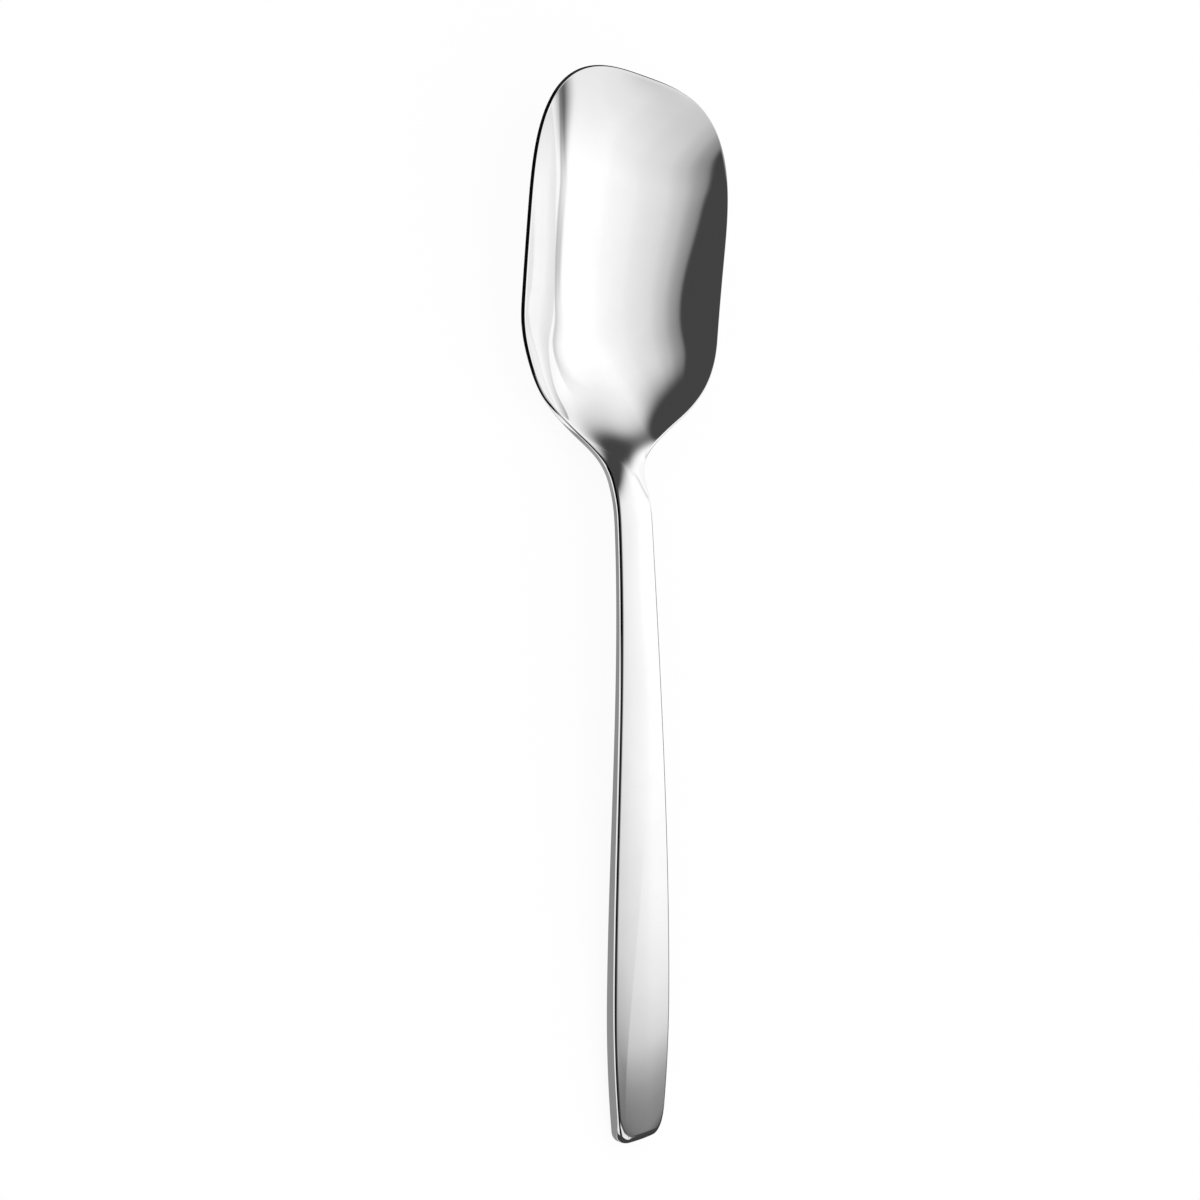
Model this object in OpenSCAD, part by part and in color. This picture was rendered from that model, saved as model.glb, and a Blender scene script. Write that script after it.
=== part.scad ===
// Serving spoon of polished stainless steel: a square-ended bowl, a slim neck and a long handle.
// It is modelled as it lies on a table, in mm: the table is z = 0 and the bowl points to +Y.

/* [Lengths] */
// Handle, from its end to the neck
handle_l = 149; // [120:1:190]
// Neck, from the handle to the heel of the bowl
neck_l = 17; // [14:0.5:26]
// Bowl, from its heel to its tip
bowl_l = 88; // [78:1:110]

/* [Handle from above] */
// Width of the end of the handle
end_w = 13.2; // [10:0.2:17]
// Radius of the two corners at the end of the handle
end_corner_r = 3; // [1.5:0.25:4.5]
// Greatest width of the handle
grip_w = 17.5; // [14:0.5:22]
// Distance from the end of the handle to its widest place
grip_at = 34; // [24:1:60]

/* [Neck from above] */
// Width of the neck at its slimmest
neck_w = 10.9; // [8:0.1:13]
// Radius of the fillet between neck and bowl
neck_r = 10.5; // [6:0.5:14]

/* [Bowl from above] */
// Greatest width of the bowl
bowl_w = 62.1; // [52:0.1:72]
// Angle between the shoulder of the bowl and the long axis
shoulder_a = 51.5; // [44:0.5:62]
// Radius where the shoulder turns into the side
shoulder_r = 26.5; // [14:0.5:30]
// Length of the front of the bowl, from its widest place to the tip
tip_l = 37.5; // [24:0.5:46]
// Squareness of the tip: 2 is an ellipse, more is squarer
tip_square = 3; // [2.2:0.1:5]

/* [Side view] */
// Length of the flat on the back of the handle
pad_l = 45; // [20:1:60]
// Height that the flat gains towards the neck
pad_rise = 4.05; // [2:0.05:6]
// Clearance between the table and the top of the arch
arch_h = 10.3; // [8:0.1:16]
// Distance from the bend of the neck to the heel
bend_at = 8; // [5:0.5:11]
// Clearance under the bend of the neck
bend_h = 9.3; // [8:0.05:12]
// Steepness of the neck at its bend
bend_slope = 0.1; // [0.02:0.01:0.25]
// Clearance under the middle of the heel
heel_h = 6.3; // [5.5:0.05:8]
// Steepness of the floor at the heel
heel_slope = 0.54; // [0.3:0.01:0.7]
// Distance from the heel to the foot of its slope
foot_at = 7; // [5:0.5:10]
// Clearance under the foot of the slope
foot_h = 3.6; // [2.5:0.1:4.5]
// Steepness of the floor at the foot
foot_slope = 0.28; // [0.15:0.01:0.4]
// Distance from the heel to the lowest place of the rim
dip_at = 4.5; // [2:0.5:9]
// Clearance under the rim at its lowest place
dip_h = 5.5; // [4.5:0.05:8]
// Distance from the heel to the shoulder
shoulder_at = 20; // [14:0.5:26]
// Clearance under the rim at the shoulder
shoulder_h = 10; // [8:0.1:14]
// Distance from the heel to the lowest place of the floor
floor_at = 28.5; // [22:0.5:36]
// Distance from the tip back to the place where the floor turns up
turn_at = 26; // [20:0.5:32]
// Clearance under the floor where it turns up
turn_h = 7; // [6:0.05:10]
// Steepness of the floor where it turns up
turn_slope = 0.28; // [0.2:0.01:0.4]
// Clearance under the tip
tip_h = 23.4; // [16:0.2:28]
// Steepness of the rim towards the tip
rim_slope = 0.16; // [0.1:0.01:0.25]
// Steepness of the floor where it meets the tip
floor_slope = 1.1; // [0.6:0.05:1.5]

/* [Thickness] */
// Edge of the handle at its end
end_t = 3.4; // [2.6:0.1:4.5]
// Edge of the neck
neck_t = 2.1; // [1.6:0.1:3.2]
// Floor of the bowl
floor_t = 1.3; // [0.9:0.05:2]
// Rim at the tip
tip_t = 1.2; // [0.9:0.05:1.8]

/* [Finish] */
// How far the end of the handle is crowned above its edges
end_crown = 0.8; // [0:0.05:1.5]
// How far the neck is crowned above its edges
neck_crown = 0.5; // [0:0.05:1]
// Radius along the upper edges of the handle
edge_r = 0.8; // [0.3:0.05:1.2]
// Radius along the lower edges of the handle
back_r = 0.45; // [0.2:0.05:0.8]
// Radius along both edges of the rim
rim_r = 0.15; // [0.1:0.05:0.4]
// Thickness left at the very edge of the tip
tip_edge = 0.15; // [0.1:0.05:0.4]
// Radius over the end of the handle
end_r = 2; // [0.5:0.1:2.4]
// Flatness of the floor between the shoulders: 2 is a parabola, more is flatter
heel_flat = 3.6; // [2:0.1:4.5]
// Flatness of the floor between the sides
floor_flat = 2.2; // [2:0.05:3.5]
// Flatness of the floor near the tip
tip_flat = 2.1; // [2:0.05:3.5]

/* [Hidden] */
heel = handle_l + neck_l;
tip = heel + bowl_l;
floor_y = heel + floor_at;

// Facets from the middle of the spoon to one side
across = 10;

// Places along the outline of the bowl
line_y = heel + shoulder_run() / tan(shoulder_a);
side_y = line_y + shoulder_r * sin(shoulder_a);
wide_y = max(tip - tip_l, side_y);
front_l = tip - wide_y;
fillet_y = heel - neck_r * sin(shoulder_a);

// How far the rim at the tip leans back, so that it stands square to the floor there
tip_lean = lean(floor_slope, tip_t);

// Curves along the spoon: [place, value, slope] at each point
handle_line = [
    [0, 0, pad_rise / pad_l],
    [pad_l, pad_rise, pad_rise / pad_l],
    [handle_l, arch_h, 0]
];
rim_line = concat(handle_line, [
    [heel + dip_at, dip_h, 0],
    [heel + shoulder_at, shoulder_h, rim_slope],
    [tip, tip_h, rim_slope + 0.02]
]);
floor_line = concat(handle_line, [
    [heel - bend_at, bend_h, -bend_slope],
    [heel, heel_h, -heel_slope],
    [heel + foot_at, foot_h, -foot_slope],
    [floor_y, 0, 0],
    [tip - turn_at, turn_h, turn_slope],
    [tip, tip_h, floor_slope]
]);
gauge = [[0, end_t, 0], [handle_l, neck_t, 0], [floor_y, floor_t, 0], [tip, tip_t, 0]];
crown = [[0, end_crown, 0], [handle_l, neck_crown, 0], [heel + dip_at + 6, 0, 0], [tip, 0, 0]];
hollow = [[0, 2, 0], [fillet_y, 2, 0], [line_y, heel_flat, 0], [side_y, floor_flat, 0], [tip, tip_flat, 0]];
upper_r = [[0, edge_r, 0], [handle_l, edge_r, 0], [floor_y, rim_r, 0], [tip, rim_r, 0]];
lower_r = [[0, back_r, 0], [handle_l, back_r, 0], [floor_y, rim_r, 0], [tip, rim_r, 0]];

// How far the straight part of the shoulder widens the bowl
function shoulder_run() = (bowl_w - neck_w) / 2 - (neck_r + shoulder_r) * (1 - cos(shoulder_a));

// A cubic from point a to point b, each with its own slope
function cubic(a, b, y) =
    let (d = b[0] - a[0], u = (y - a[0]) / d)
    (2 * u^3 - 3 * u^2 + 1) * a[1] + (u^3 - 2 * u^2 + u) * d * a[2]
    + (3 * u^2 - 2 * u^3) * b[1] + (u^3 - u^2) * d * b[2];

// The value of a curve at y
function along(curve, y, i = 0) =
    i + 2 < len(curve) && y > curve[i + 1][0]
    ? along(curve, y, i + 1)
    : cubic(curve[i], curve[i + 1], y);

// How far a round edge of radius r falls away at the distance d from the edge
function falls(r, d) = d < r ? r - sqrt(r^2 - (r - max(d, 0))^2) : 0;

// Half of the handle's width at y, with its two rounded corners
function handle_half(y) =
    let (
        narrow = cubic([grip_at, grip_w / 2, 0], [handle_l + 4, neck_w / 2, 0], min(y, handle_l + 4)),
        tail = grip_w / 2 - (grip_w - end_w) / 2 * ((grip_at - y) / grip_at)^2
    )
    (y < grip_at ? tail : narrow) - falls(end_corner_r, y);

// Half of the spoon's width at y
function half(y) =
    y <= fillet_y ? handle_half(y)
    : y <= heel ? neck_w / 2 + falls(neck_r, neck_r - (y - fillet_y))
    : y <= line_y ? neck_w / 2 + neck_r * (1 - cos(shoulder_a)) + (y - heel) * tan(shoulder_a)
    : y <= side_y ? bowl_w / 2 - falls(shoulder_r, shoulder_r - (side_y - y))
    : y <= wide_y ? bowl_w / 2
    : bowl_w / 2 * (1 - ((y - wide_y) / front_l)^tip_square)^(1 / tip_square);

// Height of a face whose edges are at e and whose middle is at m
function across_face(e, m, share, n) = e + (m - e) * (1 - share^n);

// How far a rim leans back that stands square to a wall of this slope and thickness
function lean(slope, t) = t * slope / (1 + slope^2);

// The section at y, as a loop of points: the upper face to the right, then the lower one back
function section(y) =
    let (
        w = half(y),
        n = along(hollow, y),
        t = along(gauge, y),
        re = along(rim_line, y),
        me = along(floor_line, y),
        wall = max(n * (re - me) / w, 0),
        wu = w - min(lean(wall, t), w / 3),
        past = max(y - (tip - tip_lean), 0),
        sink = falls(end_r, y) + min(past * (floor_slope + 1 / floor_slope), t - tip_edge),
        lift = falls(back_r, y),
        side = (t - sink - lift) / (1 + wall^2),
        ru = min(along(upper_r, y), side * 0.6, w / 3),
        rl = min(along(lower_r, y), side * 0.35, w / 3),
        upper = [
            for (i = [-across : across]) [(wu - ru) * i / across, 0],
            for (a = [30, 60, 90]) [wu - ru + ru * sin(a), ru * (1 - cos(a))]
        ],
        lower = [
            for (a = [0, 45]) [w - rl + rl * cos(a), rl * (1 - sin(a))],
            for (i = [-across : across]) [(rl - w) * i / across, 0]
        ],
        left_low = [for (a = [45, 0]) [-(w - rl + rl * cos(a)), rl * (1 - sin(a))]],
        left_up = [for (a = [90, 60, 30]) [-(wu - ru + ru * sin(a)), ru * (1 - cos(a))]]
    )
    concat(
        [for (p = concat(left_up, upper)) [
            p[0], y - tip / 2,
            across_face(re + t, me + t + along(crown, y), min(abs(p[0]) / w, 1), n) - sink - p[1]
        ]],
        [for (p = concat(lower, left_low)) [
            p[0], y - tip / 2,
            across_face(re, me, min(abs(p[0]) / w, 1), n) + lift + p[1]
        ]]
    );

// A solid through the sections at the places ys
module loft(ys) {
    rows = [for (y = ys) section(y)];
    n = len(rows[0]);
    last = len(ys) - 1;
    polyhedron(
        points = [for (r = rows) each r],
        faces = concat(
            [[for (i = [0 : n - 1]) n - 1 - i]],
            [[for (i = [0 : n - 1]) last * n + i]],
            [for (j = [0 : last - 1], i = [0 : n - 1]) each let (k = (i + 1) % n) [
                [j * n + i, j * n + k, (j + 1) * n + k],
                [j * n + i, (j + 1) * n + k, (j + 1) * n + i]
            ]]
        ),
        convexity = 6
    );
}

// The places from a to b, in n even steps
function steps(a, b, n) = [for (i = [0 : n]) a + (b - a) * i / n];

// The places of the same kind without the first one
function after(list) = [for (i = [1 : len(list) - 1]) list[i]];

// Bowl: shoulders, sides and the square tip, with the floor between them
module bowl() {
    color("silver")
    loft(concat(
        steps(heel, line_y, 4),
        after(steps(line_y, side_y, 9)),
        wide_y - side_y > 1 ? after(steps(side_y, wide_y, 7)) : [],
        [for (a = [6 : 6 : 84]) let (y = wide_y + front_l * sin(a)) if (y < tip - tip_lean - 0.1) y],
        [tip - tip_lean, tip - tip_lean / 2, tip - 0.06, tip - 0.01]
    ));
}

// Neck: it widens into the shoulders and falls to the floor of the bowl
module neck() {
    color("lightgray")
    loft(concat(
        steps(handle_l, fillet_y, 5),
        after(steps(fillet_y, heel, 6))
    ));
}

// What lies above the table, so that the flat on the back is one clean face
module above_table() {
    intersection() {
        children();
        translate([-bowl_w, -tip, 0])
        cube([2 * bowl_w, 2 * tip, 2 * tip_h]);
    }
}

// Handle: crowned above and flat below, with a rounded end
module handle() {
    color("gainsboro")
    above_table()
    loft(concat(
        [for (a = [0, 20, 35, 50, 62, 75, 90]) end_corner_r * (1 - cos(a))],
        after(steps(end_corner_r, 5, 1)),
        after(steps(5, pad_l, 8)),
        after(steps(pad_l, handle_l, 18))
    ));
}

bowl();
neck();
handle();
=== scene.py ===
import math

import bpy
import numpy as np
from bpy.props import FloatProperty, FloatVectorProperty, IntProperty, PointerProperty
from bpy.types import Operator, Panel, PropertyGroup
from mathutils import Matrix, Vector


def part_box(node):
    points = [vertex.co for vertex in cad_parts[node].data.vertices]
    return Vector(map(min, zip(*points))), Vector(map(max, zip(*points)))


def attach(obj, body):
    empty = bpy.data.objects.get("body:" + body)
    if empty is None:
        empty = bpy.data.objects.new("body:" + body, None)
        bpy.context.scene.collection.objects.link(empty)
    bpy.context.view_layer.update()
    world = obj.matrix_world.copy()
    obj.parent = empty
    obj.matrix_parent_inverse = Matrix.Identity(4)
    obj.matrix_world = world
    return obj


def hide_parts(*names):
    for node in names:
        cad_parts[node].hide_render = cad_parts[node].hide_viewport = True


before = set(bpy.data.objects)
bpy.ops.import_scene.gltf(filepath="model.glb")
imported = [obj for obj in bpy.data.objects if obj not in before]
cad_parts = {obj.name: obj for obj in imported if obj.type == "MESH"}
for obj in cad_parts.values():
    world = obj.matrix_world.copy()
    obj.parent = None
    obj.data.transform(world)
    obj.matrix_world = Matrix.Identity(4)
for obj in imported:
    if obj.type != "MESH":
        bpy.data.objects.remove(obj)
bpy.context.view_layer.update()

bl_info = {
    "name": "Serving spoon",
    "version": (1, 0, 0),
    "blender": (4, 5, 0),
    "location": "View3D > Sidebar > Spoon",
    "description": "Makes a polished steel serving spoon and the light that shows it",
    "category": "Add Mesh",
}

MM = 0.001


# ---------------------------------------------------------------- sizes, finish and light

def node_length(node):
    """Length of a node of the part along the spoon."""
    low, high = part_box(node)
    return high.y - low.y


def length(name, description, default, smallest=0.0):
    """A size in metres that a user may change."""
    return FloatProperty(
        name=name, description=description, default=default,
        min=smallest, unit="LENGTH", precision=5,
    )


def share(name, description, default, low=0.0, high=1.0):
    """A plain number between two limits."""
    return FloatProperty(
        name=name, description=description, default=default,
        min=low, max=high, precision=3,
    )


class SpoonSizes(PropertyGroup):
    """Sizes of the spoon, along it from the end of the handle to the tip of the bowl."""

    handle_length: length("Handle", "From the end of the handle to the neck", node_length("handle"))
    neck_length: length("Neck", "From the handle to the heel of the bowl", node_length("neck"))
    bowl_length: length("Bowl", "From the heel to the tip", node_length("bowl") + 0.01 * MM)

    end_width: length("End width", "Width of the handle at its end", 13.2 * MM)
    end_corner: length("End corners", "Radius of the corners at the handle's end", 3.0 * MM)
    grip_width: length("Grip width", "Greatest width of the handle", 17.5 * MM)
    grip_place: length("Grip place", "From the end of the handle to its widest place", 34.0 * MM)
    neck_width: length("Neck width", "Width of the neck at its slimmest", 10.9 * MM)
    neck_fillet: length("Neck fillet", "Radius between the neck and the bowl", 10.5 * MM)
    bowl_width: length(
        "Bowl width", "Greatest width of the bowl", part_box("bowl")[1].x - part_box("bowl")[0].x
    )
    shoulder_angle: FloatProperty(
        name="Shoulder angle", description="Between the shoulder and the long axis",
        default=math.radians(51.5), subtype="ANGLE",
    )
    shoulder_radius: length("Shoulder radius", "Where the shoulder turns into the side", 26.5 * MM)
    tip_length: length("Front", "From the widest place of the bowl to its tip", 37.5 * MM)
    tip_square: share("Square tip", "2 is an ellipse, more is squarer", 3.0, 2.0, 6.0)

    flat_length: length("Flat back", "Length of the flat on the handle's back", 45.0 * MM)
    flat_rise: length("Flat rise", "Height that the flat gains towards the neck", 4.05 * MM)
    arch_height: length("Arch", "Clearance under the top of the arch", 10.3 * MM)
    bend_place: length("Bend place", "From the bend of the neck to the heel", 8.0 * MM)
    bend_height: length("Bend", "Clearance under the bend of the neck", 9.3 * MM)
    bend_slope: share("Bend slope", "Steepness of the neck at its bend", 0.1)
    heel_height: length("Heel", "Clearance under the middle of the heel", 6.3 * MM)
    heel_slope: share("Heel slope", "Steepness of the floor at the heel", 0.54)
    foot_place: length("Foot place", "From the heel to the foot of its slope", 7.0 * MM)
    foot_height: length("Foot", "Clearance under the foot of the slope", 3.6 * MM)
    foot_slope: share("Foot slope", "Steepness of the floor at the foot", 0.28)
    dip_place: length("Dip place", "From the heel to the lowest place of the rim", 4.5 * MM)
    dip_height: length("Dip", "Clearance under the rim at its lowest place", 5.5 * MM)
    shoulder_place: length("Shoulder place", "From the heel to the shoulder", 20.0 * MM)
    shoulder_height: length("Shoulder", "Clearance under the rim at the shoulder", 10.0 * MM)
    floor_place: length("Floor place", "From the heel to the lowest place of the floor", 28.5 * MM)
    turn_place: length("Turn place", "From the tip back to where the floor turns up", 26.0 * MM)
    turn_height: length("Turn", "Clearance under the floor where it turns up", 7.0 * MM)
    turn_slope: share("Turn slope", "Steepness of the floor where it turns up", 0.28)
    tip_height: length("Tip", "Clearance under the tip", 23.4 * MM)
    rim_slope: share("Rim slope", "Steepness of the rim towards the tip", 0.16)
    floor_slope: share("Floor slope", "Steepness of the floor where it meets the tip", 1.1, 0.0, 2.0)

    end_thickness: length("End thickness", "Edge of the handle at its end", 3.4 * MM)
    neck_thickness: length("Neck thickness", "Edge of the neck", 2.1 * MM)
    floor_thickness: length("Floor thickness", "Floor of the bowl", 1.3 * MM)
    tip_thickness: length("Tip thickness", "Rim at the tip", 1.2 * MM)
    end_crown: length("End crown", "How far the handle's end is crowned", 0.8 * MM)
    neck_crown: length("Neck crown", "How far the neck is crowned", 0.5 * MM)
    upper_edge: length("Upper edge", "Radius along the upper edges of the handle", 0.8 * MM)
    lower_edge: length("Lower edge", "Radius along the lower edges of the handle", 0.45 * MM)
    rim_edge: length("Rim edge", "Radius along both edges of the rim", 0.13 * MM)
    end_round: length("End round", "Radius over the end of the handle", 2.0 * MM)
    heel_flat: share("Flat heel", "2 is a parabola between the shoulders, more is flatter", 3.6, 2.0, 5.0)
    floor_flat: share("Flat floor", "The same between the sides", 2.2, 2.0, 5.0)
    tip_flat: share("Flat front", "The same near the tip", 2.1, 2.0, 5.0)

    columns: IntProperty(name="Columns", description="Faces across the spoon", default=76, min=8)
    rows: IntProperty(name="Rows", description="Faces along the spoon", default=290, min=20)


class SteelFinish(PropertyGroup):
    """The polished steel."""

    colour: FloatVectorProperty(
        name="Steel", description="Colour of the polished steel", subtype="COLOR",
        default=(0.9, 0.9, 0.9), min=0.0, max=1.0,
    )
    haze_colour: FloatVectorProperty(
        name="Haze", description="Colour of the faint haze that polishing leaves", subtype="COLOR",
        default=(0.88, 0.88, 0.88), min=0.0, max=1.0,
    )
    # Painted shade, not wear: this darker colour dims what the tip of the bowl mirrors.
    tip_shade_colour: FloatVectorProperty(
        name="Worn", description="Colour of the finely scratched tip of the bowl", subtype="COLOR",
        default=(0.72, 0.72, 0.72), min=0.0, max=1.0,
    )
    roughness: share("Roughness", "Softness of what the steel mirrors", 0.03)
    haze_roughness: share("Haze roughness", "The same in the polishing haze", 0.055)
    haze_size: length("Haze size", "Size of the hazy places", 9.0 * MM)
    line_width: length("Polishing lines", "Distance between polishing lines", 0.12 * MM)


class StudioLight(PropertyGroup):
    """Floor, light arch and camera."""

    arch_radius: length("Arch radius", "Radius of the light arch round the spoon", 0.42)
    arch_length: length("Arch length", "Length of the light arch", 2.4)
    panel: share("Panel", "Brightness of the side panel", 1.164, 0.0, 4.0)
    shade: share("Shade", "Brightness of the dark side, and with it of the dark cards", 0.06)
    around: share("Around", "Brightness of the left strip and of the arch's ends", 0.85)
    # Painted shadow: this card stands in for the spoon's shadow on the floor left of the handle, which the
    # steel mirrors.
    card: share("Card", "Brightness of the grey card left of the handle", 0.285)
    floor_size: length("Floor", "Side of the square floor", 12.0)
    floor_colour: FloatVectorProperty(
        name="Floor colour", description="Colour of the floor", subtype="COLOR",
        default=(0.9, 0.9, 0.9), min=0.0, max=1.0,
    )
    floor_glow: share("Floor glow", "Share of the floor's white that takes no shadow", 0.9)
    lens: FloatProperty(
        name="Lens", description="Focal length on a sensor 36 mm wide",
        default=36.469, unit="CAMERA",
    )


# ---------------------------------------------------------------- form of the spoon

def smooth_step(u):
    """0 to 1 with level ends, for u from 0 to 1."""
    u = np.clip(u, 0.0, 1.0)
    return u * u * u * (u * (6.0 * u - 15.0) + 10.0)


def falls(radius, inside):
    """How far a round edge falls away at a distance inside the edge."""
    across = np.clip(radius - inside, 0.0, radius)
    return radius - np.sqrt(np.maximum(radius * radius - across * across, 0.0))


def along(knots, y):
    """A curve through [place, value, slope] at each knot."""
    knots = np.asarray(knots, float)
    y = np.asarray(y, float)
    i = np.clip(np.searchsorted(knots[:, 0], y, side="right") - 1, 0, len(knots) - 2)
    y0, z0, k0 = knots[i].T
    y1, z1, k1 = knots[i + 1].T
    d = y1 - y0
    u = (y - y0) / d
    return (
        (2 * u**3 - 3 * u**2 + 1) * z0 + (u**3 - 2 * u**2 + u) * d * k0
        + (3 * u**2 - 2 * u**3) * z1 + (u**3 - u**2) * d * k1
    )


# How many reaches an average takes in on either side
EASE_SPAN = 2.4


def eased(curve, y, reach):
    """A curve averaged over a short reach, so that a mirror shows no break in it."""
    steps = np.linspace(-EASE_SPAN, EASE_SPAN, 17)
    weights = np.exp(-0.5 * steps**2)
    weights /= weights.sum()
    return sum(k * curve(y + s * reach) for k, s in zip(weights, steps))


class SpoonForm:
    """Outline, heights and thickness of the spoon, in metres from the end of the handle."""

    # Reaches over which heights and the outline are averaged, and where the outline's begins and ends
    EASE = 2.2 * MM
    OUTLINE_EASE = 1.3 * MM
    EASE_BEFORE, EASE_AFTER, EASE_FADE = 9 * MM, 8 * MM, 5 * MM
    # How much steeper the rim is at the tip, and how far the crown runs past the dip of the rim
    TIP_LIFT = 0.02
    CROWN_RUN = 6 * MM
    # How far the handle's taper runs on into the neck
    TAPER_RUN = 4 * MM
    # Distance over which the wall's slope is read, its softest slope, and the length in which the rim turns
    WALL_STEP = 0.4 * MM
    WALL_SOFT = 0.05
    RIM_TURN = 12 * MM
    OUTLINE_STEP = 0.02 * MM

    def __init__(self, sizes):
        s = self.s = sizes
        self.heel = s.handle_length + s.neck_length
        self.tip = self.heel + s.bowl_length
        a = s.shoulder_angle
        self.tangent = math.tan(a)
        self.fillet_y = self.heel - s.neck_fillet * math.sin(a)
        self.fillet_x = s.neck_width / 2 + s.neck_fillet * (1 - math.cos(a))
        run = (s.bowl_width - s.neck_width) / 2 - (s.neck_fillet + s.shoulder_radius) * (1 - math.cos(a))
        self.line_y = self.heel + run / self.tangent
        self.side_y = self.line_y + s.shoulder_radius * math.sin(a)
        self.wide_y = self.tip - s.tip_length
        floor_y = self.heel + s.floor_place
        hand = s.handle_length
        rise = s.flat_rise / s.flat_length
        handle_line = [[0, 0, rise], [s.flat_length, s.flat_rise, rise], [hand, s.arch_height, 0]]
        self.rim_line = handle_line + [
            [self.heel + s.dip_place, s.dip_height, 0],
            [self.heel + s.shoulder_place, s.shoulder_height, s.rim_slope],
            [self.tip, s.tip_height, s.rim_slope + self.TIP_LIFT],
        ]
        self.floor_line = handle_line + [
            [self.heel - s.bend_place, s.bend_height, -s.bend_slope],
            [self.heel, s.heel_height, -s.heel_slope],
            [self.heel + s.foot_place, s.foot_height, -s.foot_slope],
            [floor_y, 0, 0],
            [self.tip - s.turn_place, s.turn_height, s.turn_slope],
            [self.tip, s.tip_height, s.floor_slope],
        ]
        self.hollow = [
            [0, 2, 0], [self.fillet_y, 2, 0], [self.line_y, s.heel_flat, 0],
            [self.side_y, s.floor_flat, 0], [self.tip, s.tip_flat, 0],
        ]

        def level(*values):
            return [[y, value, 0] for y, value in zip((0, hand, floor_y, self.tip), values)]

        self.gauge = level(s.end_thickness, s.neck_thickness, s.floor_thickness, s.tip_thickness)
        self.upper = level(s.upper_edge, s.upper_edge, s.rim_edge, s.rim_edge)
        self.lower = level(s.lower_edge, s.lower_edge, s.rim_edge, s.rim_edge)
        self.crown = [
            [0, s.end_crown, 0], [hand, s.neck_crown, 0],
            [self.heel + s.dip_place + self.CROWN_RUN, 0, 0], [self.tip, 0, 0],
        ]

    def handle_half(self, y):
        """Half of the handle's width, without the corners at its end."""
        s = self.s
        last = s.handle_length + self.TAPER_RUN
        taper = [[s.grip_place, s.grip_width / 2, 0], [last, s.neck_width / 2, 0]]
        narrow = along(taper, np.minimum(y, last))
        past_grip = (s.grip_place - y) / s.grip_place
        tail = s.grip_width / 2 - (s.grip_width - s.end_width) / 2 * past_grip**2
        return np.where(y < s.grip_place, tail, narrow)

    def plain_half(self, y):
        """Half of the spoon's width, as arcs and straight lines."""
        s = self.s
        half = s.bowl_width / 2
        q = np.clip((y - self.wide_y) / s.tip_length, 0.0, 1.0)
        front = half * (1 - q**s.tip_square) ** (1 / s.tip_square)
        side = half - falls(s.shoulder_radius, s.shoulder_radius - np.maximum(self.side_y - y, 0))
        line = self.fillet_x + (y - self.heel) * self.tangent
        into = np.maximum(y - self.fillet_y, 0)
        fillet = s.neck_width / 2 + falls(s.neck_fillet, s.neck_fillet - into)
        return np.where(
            y <= self.fillet_y, self.handle_half(y),
            np.where(y <= self.heel, fillet,
                     np.where(y <= self.line_y, line, np.where(y <= self.wide_y, side, front))),
        )

    def half(self, y):
        """Half of the spoon's width, eased where its arcs meet."""
        y = np.asarray(y, float)
        reach = self.OUTLINE_EASE * smooth_step((y - self.fillet_y + self.EASE_BEFORE) / self.EASE_FADE)
        reach = reach * smooth_step((self.side_y + self.EASE_AFTER - y) / self.EASE_FADE)
        return eased(self.plain_half, y, reach)

    def height(self, line, y):
        """A height or thickness at y, eased."""
        y = np.asarray(y, float)
        reach = np.minimum(self.EASE, np.minimum(y, self.tip - y) / EASE_SPAN)
        return eased(lambda at: along(line, at), y, np.maximum(reach, 0))

    def face(self, x, y, upper):
        """Height of the upper or lower face over a place of the plan."""
        y = np.clip(y, 0, self.tip)
        half = np.maximum(self.half(y), 1e-7)
        edge = self.height(self.rim_line, y)
        middle = self.height(self.floor_line, y)
        if upper:
            gauge = self.height(self.gauge, y)
            edge = edge + gauge
            middle = middle + gauge + self.height(self.crown, y)
        part = np.minimum(np.abs(x) / half, 1.0)
        return edge + (middle - edge) * (1 - part ** self.height(self.hollow, y))

    def rim_tilt(self, place, out):
        """Angle by which the rim faces up at a place of the outline: it is square to the bowl's wall."""
        inner = place - self.WALL_STEP * out
        slope = (self.face(*place.T, False) - self.face(*inner.T, False)) / self.WALL_STEP
        slope = (slope + np.sqrt(slope**2 + self.WALL_SOFT**2)) / 2
        return np.arctan(slope) * smooth_step((place[:, 1] - self.s.handle_length) / self.RIM_TURN)

    def rim_lean(self, place, tilt):
        """How far the upper edge of the rim stands back from the lower one."""
        return self.height(self.gauge, place[:, 1]) * np.sin(tilt) * np.cos(tilt)

    # The outline runs along one side, over the tip and over the end of the handle.

    def side(self, y):
        """Points of the right side and their outward directions in the plan."""
        step = self.OUTLINE_STEP
        x = self.half(y) - falls(self.s.end_corner, y)
        before = self.half(y - step) - falls(self.s.end_corner, y - step)
        after = self.half(y + step) - falls(self.s.end_corner, y + step)
        slope = (after - before) / (2 * step)
        out = np.stack([np.ones_like(slope), -slope], -1)
        return np.stack([x, y], -1), out / np.linalg.norm(out, axis=-1, keepdims=True)

    def front(self, x):
        """Points over the tip and their outward directions."""
        s = self.s
        p = s.tip_square
        u = np.clip(np.abs(x) / (s.bowl_width / 2), 0, 1)
        q = (1 - u**p) ** (1 / p)
        out = np.stack(
            [np.sign(x) * u ** (p - 1) / (s.bowl_width / 2), q ** (p - 1) / s.tip_length], -1
        )
        place = np.stack([x, self.wide_y + s.tip_length * q], -1)
        return place, out / np.linalg.norm(out, axis=-1, keepdims=True)

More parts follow.
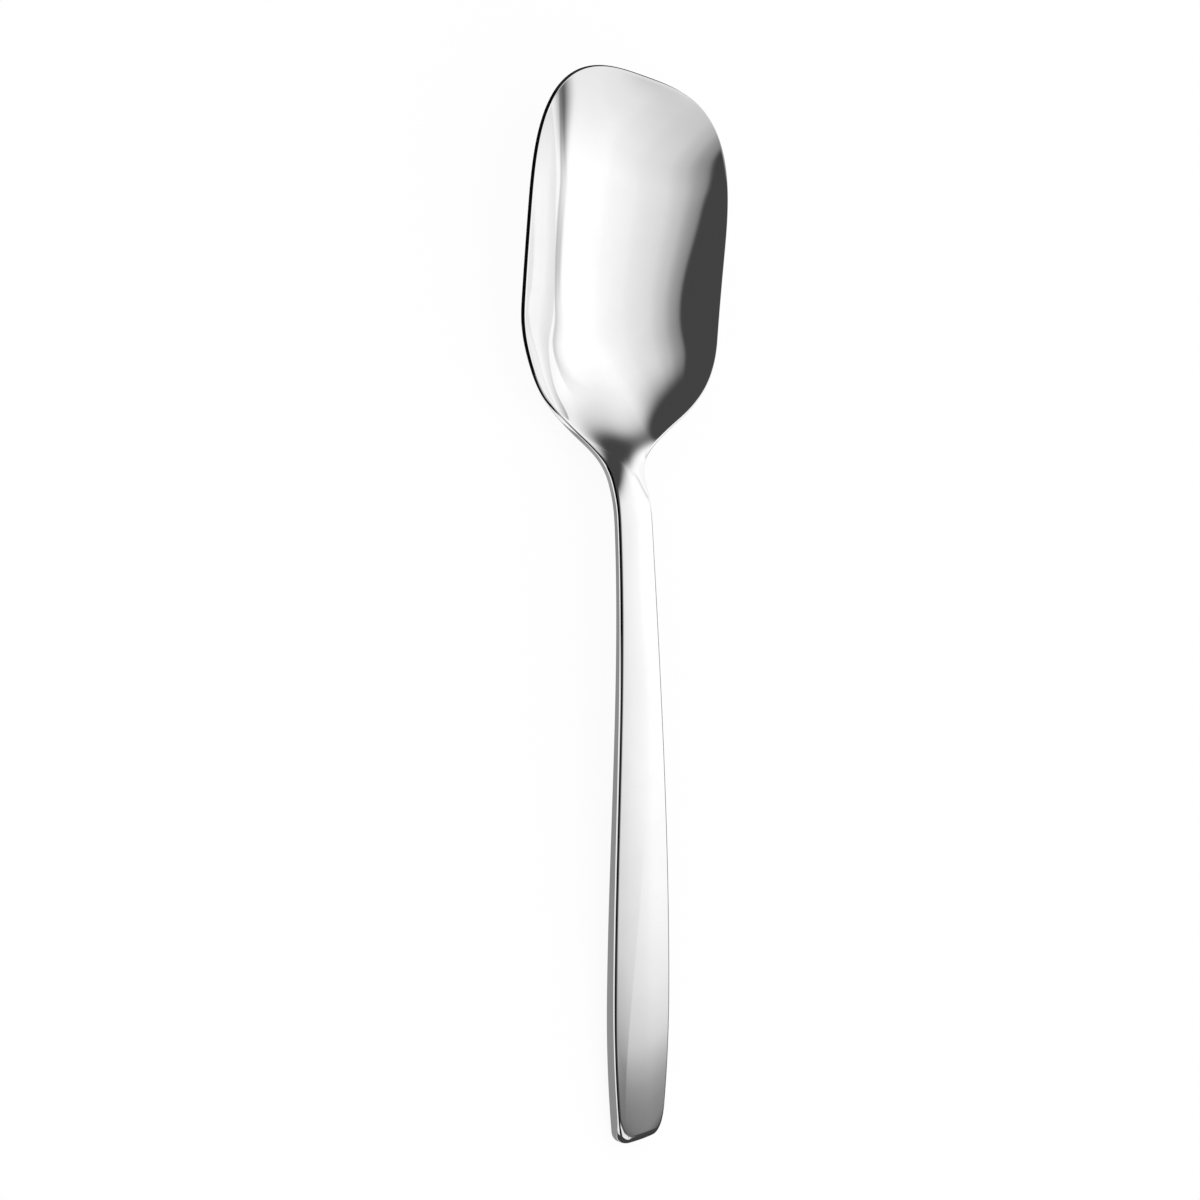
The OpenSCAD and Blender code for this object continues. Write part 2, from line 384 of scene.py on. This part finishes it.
    def back(self, at):
        """Points over the end of the handle, at -1 to 1 between its corners, and directions."""
        r = self.s.end_corner
        flat = float(self.handle_half(np.array(0.0))) - r
        run = np.abs(at) * (flat + r * math.pi / 4)
        a = np.clip((run - flat) / r, 0, None)
        y = r * (1 - np.cos(a))
        x = np.where(run < flat, run, self.handle_half(y) - r + r * np.sin(a))
        place = np.stack([np.sign(at) * x, y], -1)
        return place, np.stack([np.sign(at) * np.sin(a), -np.cos(a)], -1)


# ---------------------------------------------------------------- pressing the blank

# Faces down the wall of the blank: over the upper edge, down the side, round the lower edge
UPPER_ARC, SIDE, LOWER_ARC = 7, 2, 5
WALL = UPPER_ARC + SIDE + LOWER_ARC
# How far the curved rows of the tip and of the handle's end reach into the blank
FRONT_REACH, BACK_REACH = 30 * MM, 12 * MM
# How far the larger round of the end reaches, in radii of its corners
END_ROUND_REACH = 2.2
TINY = 1e-6


def row_places(form, v):
    """Where the rows lie along the spoon: close together at the ends, the neck and the bowl."""
    low = form.s.end_corner * (1 - math.cos(math.pi / 4))
    high = form.wide_y + form.s.tip_length * 0.5 ** (1 / form.s.tip_square)
    y = np.linspace(low, high, 4001)
    gap = np.interp(
        y,
        [0, 6 * MM, 20 * MM, form.s.handle_length - 18 * MM, form.s.handle_length,
         form.line_y, form.wide_y, form.wide_y + 16 * MM, form.tip],
        [0.25, 0.6, 1.7, 1.7, 0.6, 0.55, 0.8, 0.7, 0.45],
    )
    run = np.concatenate([[0], np.cumsum(0.5 * (1 / gap[1:] + 1 / gap[:-1]))])
    return np.interp(v, run / run[-1], y)


def edge_radii(form, y, upper):
    """Radius of the round edge beside the place y."""
    s = form.s
    radius = form.height(form.upper if upper else form.lower, y)
    if upper:
        over_end = smooth_step(1 - y / (END_ROUND_REACH * s.end_corner))
        radius = radius + (s.end_round - s.upper_edge) * over_end
    return radius


def inset_plan(form, s, v, upper):
    """Places of the plan inside the round edge, for s across and v along the blank."""
    def inside(place, out):
        tilt = form.rim_tilt(place, out)
        inset = edge_radii(form, place[:, 1], upper) * np.cos(tilt)
        if upper:
            inset = inset + form.rim_lean(place, tilt)
        return place - inset[:, None] * out

    y = row_places(form, v)
    side = inside(*form.side(y))
    plan = np.stack([s * side[:, 0], side[:, 1]], -1)
    first, last = row_places(form, np.array([0.0, 1.0]))
    corner, _ = form.side(np.array([last]))
    for ends, far, reach in (
        (inside(*form.front(s * corner[0, 0])), last, FRONT_REACH),
        (inside(*form.back(s)), first, BACK_REACH),
    ):
        at_corner = inside(*form.side(np.array([far])))[0]
        straight = np.stack([s * at_corner[0], np.full_like(s, at_corner[1])], -1)
        near = smooth_step(1 - np.abs(y - far) / reach)
        plan += near[:, None] * (ends - straight)
    return plan


def outline(form, s, v):
    """Places on the outline and their outward directions, for the rim of the blank."""
    y = row_places(form, v)
    place, out = form.side(y)
    sign = np.where(s < 0, -1.0, 1.0)[:, None] * [1, 0] + [0, 1]
    place, out = place * sign, out * sign
    last = row_places(form, np.array([1.0]))
    corner, _ = form.side(last)
    for rim, ends in (
        ((v > 1 - TINY) & (np.abs(s) < 1 - TINY), form.front(s * corner[0, 0])),
        ((v < TINY) & (np.abs(s) < 1 - TINY), form.back(s)),
    ):
        place = np.where(rim[:, None], ends[0], place)
        out = np.where(rim[:, None], ends[1], out)
    return place, out


def press(form, blank):
    """Moves each point of the flat blank to its place on the spoon."""
    s = blank[:, 0]
    v = (blank[:, 1] + 1) / 2
    loop = np.rint(-blank[:, 2] * WALL).astype(int)
    rim = (np.abs(s) > 1 - TINY) | (v < TINY) | (v > 1 - TINY)
    spoon = np.empty_like(blank)
    for upper, flat in ((True, (loop == 0) & ~rim), (False, (loop == WALL) & ~rim)):
        plan = inset_plan(form, s[flat], v[flat], upper)
        spoon[flat, :2] = plan
        spoon[flat, 2] = form.face(plan[:, 0], plan[:, 1], upper)

    place, out = outline(form, s[rim], v[rim])
    k = loop[rim]
    up, low = (edge_radii(form, place[:, 1], upper) for upper in (True, False))
    turn_up = np.clip(k / UPPER_ARC, 0, 1) * math.pi / 2
    turn_low = np.clip((WALL - k) / LOWER_ARC, 0, 1) * math.pi / 2
    tilt = form.rim_tilt(place, out)
    sine, cosine = np.sin(tilt), np.cos(tilt)
    fall, rise = up * (1 - np.cos(turn_up)), low * (1 - np.cos(turn_low))
    top_in = form.rim_lean(place, tilt) + up * cosine * (1 - np.sin(turn_up)) - sine * fall
    low_in = low * cosine * (1 - np.sin(turn_low)) + sine * rise
    top = place - top_in[:, None] * out
    bottom = place - low_in[:, None] * out
    top = np.column_stack([top, form.face(*top.T, True) - fall / cosine])
    bottom = np.column_stack([bottom, form.face(*bottom.T, False) + rise / cosine])
    down = np.clip((k - UPPER_ARC) / SIDE, 0, 1)[:, None]
    spoon[rim] = top + (bottom - top) * down
    spoon[:, 1] -= form.tip / 2
    return spoon


def deselect():
    """Leaves nothing selected, the nodes of the part among them."""
    if bpy.context.object and bpy.context.object.mode != "OBJECT":
        bpy.ops.object.mode_set(mode="OBJECT")
    bpy.ops.object.select_all(action="DESELECT")


def new_blank(sizes):
    """A flat bar of steel, cut into rows and columns and pressed into the whole spoon."""
    deselect()
    bpy.ops.mesh.primitive_grid_add(x_subdivisions=sizes.columns, y_subdivisions=sizes.rows, size=2)
    blank = bpy.context.object
    bpy.ops.object.mode_set(mode="EDIT")
    bpy.ops.mesh.select_mode(type="EDGE")
    bpy.ops.mesh.select_all(action="SELECT")
    bpy.ops.mesh.extrude_region_move(TRANSFORM_OT_translate={"value": (0, 0, -1)})
    bpy.ops.mesh.select_all(action="DESELECT")
    bpy.ops.object.mode_set(mode="OBJECT")
    mesh = blank.data
    flat = np.empty(len(mesh.vertices) * 3)
    mesh.vertices.foreach_get("co", flat)
    z = flat[2::3]
    pairs = np.empty(len(mesh.edges) * 2, int)
    mesh.edges.foreach_get("vertices", pairs)
    pairs = pairs.reshape(-1, 2)
    mesh.edges.foreach_set("select", np.abs(z[pairs[:, 0]] - z[pairs[:, 1]]) > 0.5)
    bpy.ops.object.mode_set(mode="EDIT")
    bpy.ops.mesh.subdivide(number_cuts=WALL - 1)
    bpy.ops.object.mode_set(mode="OBJECT")
    flat = np.empty(len(mesh.vertices) * 3)
    mesh.vertices.foreach_get("co", flat)
    mesh.vertices.foreach_set("co", press(SpoonForm(sizes), flat.reshape(-1, 3)).ravel())
    mesh.update()
    bpy.ops.object.mode_set(mode="EDIT")
    bpy.ops.mesh.select_all(action="SELECT")
    bpy.ops.mesh.normals_make_consistent(inside=False)
    bpy.ops.object.mode_set(mode="OBJECT")
    bpy.ops.object.shade_smooth()
    return blank


def cut(piece, y, keep_beyond):
    """Cuts the piece square across at y and closes the cut."""
    bpy.ops.object.mode_set(mode="EDIT")
    bpy.ops.mesh.select_all(action="SELECT")
    bpy.ops.mesh.bisect(
        plane_co=(0, y, 0), plane_no=(0, 1, 0), threshold=1e-7,
        use_fill=True, clear_inner=keep_beyond, clear_outer=not keep_beyond,
    )
    bpy.ops.object.mode_set(mode="OBJECT")


def cut_from_blank(name, low=None, high=None):
    """One piece of the spoon between two cuts, with the mirror running on over them."""
    scene = bpy.context.scene
    whole = new_blank(scene.spoon_sizes)
    bpy.ops.object.duplicate()
    piece = bpy.context.object
    piece.name = piece.data.name = name
    for y, keep_beyond in ((low, True), (high, False)):
        if y is not None:
            cut(piece, y, keep_beyond)

    mesh = piece.data
    normals = [p.normal.copy() for p in mesh.polygons]
    ends = [
        p for p in mesh.polygons
        if any(y is not None and abs(p.center.y - y) < TINY for y in (low, high))
        and abs(normals[p.index].y) > 0.999
    ]
    carry = piece.modifiers.new("Mirror of the whole spoon", "DATA_TRANSFER")
    carry.object = whole
    carry.use_loop_data = True
    carry.data_types_loops = {"CUSTOM_NORMAL"}
    carry.loop_mapping = "POLYINTERP_NEAREST"
    bpy.ops.object.modifier_apply(modifier=carry.name)

    mesh = piece.data
    corners = np.empty(len(mesh.loops) * 3)
    mesh.corner_normals.foreach_get("vector", corners)
    corners = corners.reshape(-1, 3)
    edges = {tuple(sorted(e.vertices)): e for e in mesh.edges}
    for p in ends:
        corners[list(p.loop_indices)] = normals[p.index]
        for k in p.edge_keys:
            edges[tuple(sorted(k))].use_edge_sharp = True
    mesh.normals_split_custom_set(corners.tolist())

    bpy.data.meshes.remove(whole.data)
    mesh.materials.clear()
    mesh.materials.append(polished_steel())
    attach(piece, "root")
    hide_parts(name.split("_")[-1])
    return piece


# ---------------------------------------------------------------- material

# Sockets of a colour mix node: the two colours and the result
MIX_A, MIX_B, MIX_RESULT = 6, 7, 2
# Noise between which the steel goes from clear to hazy
HAZE_RANGE = (0.42, 0.72)
# Where the painted shade that darkens the tip's reflection begins and is full, from the middle of the spoon
TIP_SHADE_RANGE = (105 * MM, 124 * MM)
# Polishing lines: how far they are drawn out along the spoon, and their share of the roughness
LINE_STRETCH = (1.0, 0.02, 1.0)
LINE_SHARE = 0.35
LINE_DEPTH = 0.02 * MM


def add_node(tree, kind, **values):
    """A shader node with its settings; keys that name a socket set its value."""
    node = tree.nodes.new(kind)
    for key, value in values.items():
        if key in node.inputs:
            node.inputs[key].default_value = value
        else:
            setattr(node, key, value)
    return node


def spread(tree, value, low, high, to_low=0.0, to_high=1.0, soft=False):
    """A value between low and high, turned into one between to_low and to_high."""
    node = add_node(
        tree, "ShaderNodeMapRange", interpolation_type="SMOOTHSTEP" if soft else "LINEAR",
        **{"From Min": low, "From Max": high, "To Min": to_low, "To Max": to_high},
    )
    tree.links.new(value, node.inputs["Value"])
    return node.outputs["Result"]


def object_place(tree):
    """X, Y and Z on the object itself."""
    place = add_node(tree, "ShaderNodeTexCoord")
    split = add_node(tree, "ShaderNodeSeparateXYZ")
    tree.links.new(place.outputs["Object"], split.inputs["Vector"])
    return split.outputs


def polished_steel():
    """Mirror-polished stainless steel with a faint haze, fine polishing lines and painted shade at the tip.
    """
    found = bpy.data.materials.get("spoon_steel")
    if found:
        return found
    finish = bpy.context.scene.steel_finish
    steel = bpy.data.materials.new("spoon_steel")
    steel.use_nodes = True
    tree = steel.node_tree
    link = tree.links.new
    shader = tree.nodes["Principled BSDF"]
    shader.inputs["Metallic"].default_value = 1.0
    place = add_node(tree, "ShaderNodeTexCoord")

    haze = add_node(tree, "ShaderNodeTexNoise", Scale=1 / finish.haze_size, Detail=3.0, Roughness=0.55)
    link(place.outputs["Object"], haze.inputs["Vector"])
    hazy = spread(tree, haze.outputs["Fac"], *HAZE_RANGE)
    colour = add_node(tree, "ShaderNodeMix", data_type="RGBA")
    colour.inputs[MIX_A].default_value = (*finish.colour, 1)
    colour.inputs[MIX_B].default_value = (*finish.haze_colour, 1)
    link(hazy, colour.inputs["Factor"])
    # Painted shade: the steel darkens towards the tip of the bowl, so the tip mirrors less light.
    tip_shade = add_node(tree, "ShaderNodeMix", data_type="RGBA")
    tip_shade.inputs[MIX_B].default_value = (*finish.tip_shade_colour, 1)
    link(spread(tree, object_place(tree)["Y"], *TIP_SHADE_RANGE, soft=True), tip_shade.inputs["Factor"])
    link(colour.outputs[MIX_RESULT], tip_shade.inputs[MIX_A])
    link(tip_shade.outputs[MIX_RESULT], shader.inputs["Base Color"])

    stretch = add_node(tree, "ShaderNodeMapping", Scale=LINE_STRETCH)
    link(place.outputs["Object"], stretch.inputs["Vector"])
    lines = add_node(tree, "ShaderNodeTexNoise", Scale=1 / finish.line_width, Detail=2.0)
    link(stretch.outputs["Vector"], lines.inputs["Vector"])
    mixed = add_node(tree, "ShaderNodeMath", operation="MULTIPLY_ADD")
    mixed.inputs[1].default_value = LINE_SHARE
    link(lines.outputs["Fac"], mixed.inputs[0])
    link(hazy, mixed.inputs[2])
    rough = spread(tree, mixed.outputs["Value"], 0.0, 1.0, finish.roughness, finish.haze_roughness)
    link(rough, shader.inputs["Roughness"])

    bump = add_node(tree, "ShaderNodeBump", Strength=0.02, Distance=LINE_DEPTH)
    link(lines.outputs["Fac"], bump.inputs["Height"])
    link(bump.outputs["Normal"], shader.inputs["Normal"])
    return steel


# ---------------------------------------------------------------- light

# A place on the arch is an angle, from the right horizon over the top to the left one, and a
# distance along the spoon from its middle. Stops are pairs of a place, in degrees or in
# millimetres, and a brightness.
PANEL = (
    (0, 0.84), (10, 0.84), (25, 0.92), (46, 0.92), (50, 0.9), (53, 0.86), (57, 0.83), (62, 0.795),
    (66, 0.77), (70, 0.7235), (75, 0.687), (80, 0.659), (86, 0.611), (91, 0.508), (95, 0.436),
    (99, 0.29), (102, 0.216), (103.5, 0.165), (105, 0.0), (180, 0.0),
)
# Beside the handle the panel sits lower: between two distances, by a share of the half turn
PANEL_LOWERED = (-0.07, 0.03, 5 / 180, 0.0)
DARK_SIDE = ((0, 1.0), (121, 1.0), (131, 0.05), (180, 0.05))

# Both ends of the panel fade slowly and are cut on a slant: the angle at which the slant moves
# nothing, in radians, and the metres that it moves the end for each radian
NEAR_LEVEL, NEAR_SLANT = 0.873, 0.0458
NEAR_END = (
    (-420, 0.0), (-356, 0.0), (-344, 0.17), (-327, 0.22), (-314, 0.29), (-300, 0.43), (-285, 0.62),
    (-270, 0.71), (-250, 0.79), (-225, 0.86), (-190, 0.93), (-100, 1.0), (0, 1.0),
)
FAR_LEVEL, FAR_SLANT_ABOVE, FAR_SLANT_BELOW = 0.785, 0.235, 0.05
FAR_END = (
    (260, 1.0), (300, 0.93), (330, 0.82), (355, 0.66), (378, 0.49), (400, 0.29), (420, 0.12),
    (440, 0.02), (455, 0.0),
)
FAR_LAST = 480

# The foot of the panel is dark beside the handle, up to a low angle
FOOT = (0.085, 0.15, 0.1, 1.0)
FOOT_TOP = (math.radians(12.0), math.radians(22.0))
# Its lower edge is a thin grey line that climbs along the spoon and is lost beyond the tip
EDGE_START, EDGE_ANGLE, EDGE_CLIMB = 0.108, 0.192, 1.92
EDGE_LINE = ((-4, 1.0), (-1.5, 1.0), (0, 0.58), (4, 0.84), (9, 1.0), (16, 1.0))
EDGE_LOST = (0.17, 0.325, 0.58, 1.0)

# A low strip on the left of the handle, and both ends of the arch, light the other sides. Each
# end: where its light begins, where it is full, and its brightness low on the right
LEFT_STRIP = ((0, 0.0), (160, 0.0), (164, 1.0), (180, 1.0))
BESIDE_HANDLE = (0.02, -0.02)
ARCH_ENDS = ((-0.4, -0.5, 0.0), (0.54, 0.64, 1.0))

# How clear the grey sheet over the handle is, along it
GEL_CLEAR = (
    (-125, 0.96), (-26, 0.94), (-15, 0.89), (6, 0.66), (27, 0.81), (47, 0.91), (78, 0.93),
    (106, 0.97), (125, 1.0),
)
GEL_HALF = 125

FLOOR_LEVEL, JUST_OVER_FLOOR = -0.1 * MM, -0.05 * MM
# Where the camera stands, and what is right, up and back in its picture
CAMERA_PLACE = (-0.189409, -0.016887, 0.233931)
CAMERA_AXES = ((0.78237, -0.04603, 0.62113), (-0.00481, 0.99679, 0.07993), (-0.62281, -0.06552, 0.77963))

# What only the steel mirrors: middle, tilt and turn in degrees, width and length
CARDS = {
    # Painted shadow: grey on the floor left of the handle, where the spoon's shadow falls, seen in
    # reflections alone.
    "shadow_card": ((-0.0125, -0.033, JUST_OVER_FLOOR), 0.0, 0.0, (0.024, 0.19)),
    "dark_card": ((0.044, -0.0675, JUST_OVER_FLOOR), 0.0, 0.0, (0.062, 0.225)),
    "end_card": ((0.008, -0.1368, 0.006), -36.0, 0.0, (0.044, 0.0204)),
    "tip_card": ((0.004, 0.142, 0.0235), 90.0, 0.0, (0.084, 0.043)),
    "grey_gel": ((-0.0327, -0.1359, 0.16), 0.0, -32.3, (0.24, 0.25)),
}
# Brightness of the dark cards as shares of the dark side's, and the white that long cards fade to
DARK_CARD, END_CARD, TIP_CARD = 0.4, 0.8, 0.4
CARD_FADE, CARD_WHITE = 0.6, 0.95


def new_tree(name):
    """A material with an empty tree."""
    material = bpy.data.materials.new(name)
    material.use_nodes = True
    material.node_tree.nodes.clear()
    return material, material.node_tree


def give_surface(tree, shader):
    """Ends a tree with its surface."""
    out = add_node(tree, "ShaderNodeOutputMaterial")
    tree.links.new(shader, out.inputs["Surface"])


def graded(tree, value, stops, low=0, high=180):
    """Brightness by stops that lie between low, where the value is 0, and high, where it is 1."""
    node = tree.nodes.new("ShaderNodeValToRGB")
    points = node.color_ramp.elements
    while len(points) < len(stops):
        points.new(1.0)
    for point, (place, grey) in zip(points, stops):
        point.position = (place - low) / (high - low)
        point.color = (grey, grey, grey, 1)
    tree.links.new(value, node.inputs["Fac"])
    return node.outputs["Color"]


def arch_light():
    """Light of the arch: a bright panel on the right that fades overhead to a dark left side."""
    studio = bpy.context.scene.studio_light
    light, tree = new_tree("light_arch")

    def maths(operation, *values):
        node = add_node(tree, "ShaderNodeMath", operation=operation)
        for socket, value in zip(node.inputs, values):
            if isinstance(value, float):
                socket.default_value = value
            else:
                tree.links.new(value, socket)
        return node.outputs["Value"]

    def by_length(place, stops, last):
        low = stops[0][0]
        return graded(tree, spread(tree, place, low * MM, last * MM), stops, low, last)

    x, y, z = object_place(tree)
    angle = maths("ARCTAN2", z, x)
    turn = maths("DIVIDE", angle, math.pi)

    panel = graded(tree, maths("ADD", turn, spread(tree, y, *PANEL_LOWERED, soft=True)), PANEL)
    near_place = maths("MULTIPLY_ADD", maths("SUBTRACT", angle, NEAR_LEVEL), NEAR_SLANT, y)
    near = by_length(near_place, NEAR_END, 0)
    over = maths("SUBTRACT", angle, FAR_LEVEL)
    slant = maths(
        "MAXIMUM", maths("MULTIPLY", over, FAR_SLANT_ABOVE), maths("MULTIPLY", over, FAR_SLANT_BELOW),
    )
    far = by_length(maths("ADD", slant, y), FAR_END, FAR_LAST)

    foot = maths("MAXIMUM", spread(tree, y, *FOOT, soft=True), spread(tree, angle, *FOOT_TOP, soft=True))
    climb = maths("MULTIPLY_ADD", maths("SUBTRACT", y, EDGE_START), EDGE_CLIMB, EDGE_ANGLE)
    first, last = EDGE_LINE[0][0], EDGE_LINE[-1][0]
    over_edge = spread(tree, maths("SUBTRACT", angle, climb), math.radians(first), math.radians(last))
    edge = maths("MAXIMUM", graded(tree, over_edge, EDGE_LINE, first, last), spread(tree, y, *EDGE_LOST))
    lit = maths("MULTIPLY", panel, maths("MULTIPLY", foot, edge))
    lit = maths("MULTIPLY", lit, maths("MULTIPLY", near, far))

    around = maths("MULTIPLY", graded(tree, turn, LEFT_STRIP), spread(tree, y, *BESIDE_HANDLE))
    for start, full, right in ARCH_ENDS:
        over_top = ((0, right), (52, right), (70, 1.0), (118, 1.0), (132, 0.0), (180, 0.0))
        end = maths("MULTIPLY", spread(tree, y, start, full, soft=True), graded(tree, turn, over_top))
        around = maths("MAXIMUM", around, end)
    shade = maths("MULTIPLY", graded(tree, turn, DARK_SIDE), studio.shade)
    shade = maths("MULTIPLY_ADD", around, studio.around, shade)

    glow = add_node(tree, "ShaderNodeEmission")
    tree.links.new(maths("MULTIPLY_ADD", lit, studio.panel, shade), glow.inputs["Strength"])
    give_surface(tree, glow.outputs["Emission"])
    return light


def card_light(name, strength, fades=False):
    """The grey that a card gives to an edge, the shadow card's grey being painted shadow; a long card fades
    to white below the bowl.
    """
    card, tree = new_tree(name)
    glow = add_node(tree, "ShaderNodeEmission", Strength=strength)
    if fades:
        half = CARDS[name][-1][1] / 2
        y = object_place(tree)["Y"]
        fade = spread(tree, y, CARD_FADE * half, half, strength, CARD_WHITE, soft=True)
        tree.links.new(fade, glow.inputs["Strength"])
    give_surface(tree, glow.outputs["Emission"])
    return card


def grey_gel():
    """A clear grey sheet over the handle that dims what its left half mirrors."""
    gel, tree = new_tree("grey_gel")
    along_sheet = spread(tree, object_place(tree)["Y"], -GEL_HALF * MM, GEL_HALF * MM)
    sheet = add_node(tree, "ShaderNodeBsdfTransparent")
    tree.links.new(graded(tree, along_sheet, GEL_CLEAR, -GEL_HALF, GEL_HALF), sheet.inputs["Color"])
    give_surface(tree, sheet.outputs["BSDF"])
    return gel


def pale_floor():
    """A pale floor that shows white and keeps the spoon's soft shadow."""
    studio = bpy.context.scene.studio_light
    floor, tree = new_tree("pale_floor")
    link = tree.links.new
    matt = add_node(tree, "ShaderNodeBsdfDiffuse", Color=(*studio.floor_colour, 1))
    veil = add_node(tree, "ShaderNodeBsdfDiffuse", Color=(*[1 - studio.floor_glow] * 3, 1))
    glow = add_node(tree, "ShaderNodeEmission", Strength=studio.floor_glow)
    white = add_node(tree, "ShaderNodeAddShader")
    link(veil.outputs["BSDF"], white.inputs[0])
    link(glow.outputs["Emission"], white.inputs[1])
    path = add_node(tree, "ShaderNodeLightPath")
    seen = path.outputs["Is Camera Ray"]
    for kind in ("Is Glossy Ray", "Is Transmission Ray"):
        either = add_node(tree, "ShaderNodeMath", operation="MAXIMUM")
        link(seen, either.inputs[0])
        link(path.outputs[kind], either.inputs[1])
        seen = either.outputs["Value"]
    mix = add_node(tree, "ShaderNodeMixShader")
    link(seen, mix.inputs["Fac"])
    link(matt.outputs["BSDF"], mix.inputs[1])
    link(white.outputs["Shader"], mix.inputs[2])
    give_surface(tree, mix.outputs["Shader"])
    return floor


def only_mirrored(piece):
    """Shows a piece of the stage in reflections alone."""
    piece.visible_camera = False
    piece.visible_shadow = False
    piece.visible_diffuse = False


# ---------------------------------------------------------------- operators

class SPOON_OT_bowl(Operator):
    """Make the bowl, from its heel to its tip."""

    bl_idname = "spoon.bowl"
    bl_label = "Bowl"

    def execute(self, context):
        cut_from_blank("spoon_bowl", low=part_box("bowl")[0].y)
        return {"FINISHED"}


class SPOON_OT_neck(Operator):
    """Make the neck between the handle and the bowl."""

    bl_idname = "spoon.neck"
    bl_label = "Neck"

    def execute(self, context):
        low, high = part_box("neck")
        cut_from_blank("spoon_neck", low=low.y, high=high.y)
        return {"FINISHED"}


class SPOON_OT_handle(Operator):
    """Make the handle, from its end to the neck."""

    bl_idname = "spoon.handle"
    bl_label = "Handle"

    def execute(self, context):
        cut_from_blank("spoon_handle", high=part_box("handle")[1].y)
        return {"FINISHED"}


class SPOON_OT_stage(Operator):
    """Make the floor, the light arch, the cards, the white surroundings and the camera."""

    bl_idname = "spoon.stage"
    bl_label = "Stage"

    def execute(self, context):
        scene = context.scene
        studio = scene.studio_light
        deselect()
        bpy.ops.mesh.primitive_plane_add(size=studio.floor_size, location=(0, 0, FLOOR_LEVEL))
        floor = context.object
        floor.name = "floor"
        floor.data.materials.append(pale_floor())

        deselect()
        bpy.ops.mesh.primitive_cylinder_add(
            vertices=96, radius=studio.arch_radius, depth=studio.arch_length,
            rotation=(math.pi / 2, 0, 0),
        )
        arch = context.object
        arch.name = "light_arch"
        bpy.ops.object.transform_apply(location=False, rotation=True, scale=False)
        bpy.ops.object.mode_set(mode="EDIT")
        bpy.ops.mesh.select_all(action="SELECT")
        bpy.ops.mesh.bisect(plane_co=(0, 0, JUST_OVER_FLOOR), plane_no=(0, 0, 1), clear_inner=True)
        bpy.ops.object.mode_set(mode="OBJECT")
        arch.data.materials.append(arch_light())
        only_mirrored(arch)

        finishes = {
            # Painted shadow: the shadow card's grey stands in for the spoon's shadow on the floor.
            "shadow_card": card_light("shadow_card", studio.card, fades=True),
            "dark_card": card_light("dark_card", DARK_CARD * studio.shade, fades=True),
            "end_card": card_light("end_card", END_CARD * studio.shade),
            "tip_card": card_light("tip_card", TIP_CARD * studio.shade),
            "grey_gel": grey_gel(),
        }
        for name, (middle, tilt, turned, size) in CARDS.items():
            deselect()
            bpy.ops.mesh.primitive_plane_add(
                size=1, location=middle, rotation=(math.radians(tilt), 0, math.radians(turned)),
            )
            card = context.object
            card.name = name
            card.scale = (*size, 1)
            bpy.ops.object.transform_apply(location=False, rotation=False, scale=True)
            card.data.materials.append(finishes[name])
            only_mirrored(card)

        world = bpy.data.worlds.new("white_surroundings")
        world.use_nodes = True
        world.node_tree.nodes["Background"].inputs["Color"].default_value = (1, 1, 1, 1)
        world.node_tree.nodes["Background"].inputs["Strength"].default_value = 1.0
        scene.world = world

        camera = bpy.data.objects.new("camera", bpy.data.cameras.new("camera"))
        scene.collection.objects.link(camera)
        camera.data.lens = studio.lens
        camera.data.sensor_width = 36.0
        camera.data.clip_start = 0.01
        aim = Matrix(CAMERA_AXES).transposed().to_4x4()
        aim.translation = CAMERA_PLACE
        camera.matrix_world = aim
        scene.camera = camera
        scene.view_settings.view_transform = "Standard"
        return {"FINISHED"}


class SPOON_PT_panel(Panel):
    """The spoon's sizes, finish and light, and the buttons that make it."""

    bl_idname = "SPOON_PT_panel"
    bl_label = "Serving spoon"
    bl_space_type = "VIEW_3D"
    bl_region_type = "UI"
    bl_category = "Spoon"

    def draw(self, context):
        scene = context.scene
        for group in (scene.spoon_sizes, scene.steel_finish, scene.studio_light):
            column = self.layout.column(align=True)
            for name in group.__annotations__:
                column.prop(group, name)
        for operator in (SPOON_OT_bowl, SPOON_OT_neck, SPOON_OT_handle, SPOON_OT_stage):
            self.layout.operator(operator.bl_idname)


CLASSES = (
    SpoonSizes, SteelFinish, StudioLight,
    SPOON_OT_bowl, SPOON_OT_neck, SPOON_OT_handle, SPOON_OT_stage, SPOON_PT_panel,
)


def register():
    """Adds the sizes, the operators and the panel."""
    for cls in CLASSES:
        bpy.utils.register_class(cls)
    bpy.types.Scene.spoon_sizes = PointerProperty(type=SpoonSizes)
    bpy.types.Scene.steel_finish = PointerProperty(type=SteelFinish)
    bpy.types.Scene.studio_light = PointerProperty(type=StudioLight)


def unregister():
    """Takes them out again."""
    del bpy.types.Scene.studio_light
    del bpy.types.Scene.steel_finish
    del bpy.types.Scene.spoon_sizes
    for cls in reversed(CLASSES):
        bpy.utils.unregister_class(cls)


def main():
    """Makes the stage and the spoon."""
    register()
    bpy.ops.spoon.stage()
    bpy.ops.spoon.handle()
    bpy.ops.spoon.neck()
    bpy.ops.spoon.bowl()
    deselect()


if __name__ == "__main__":
    main()
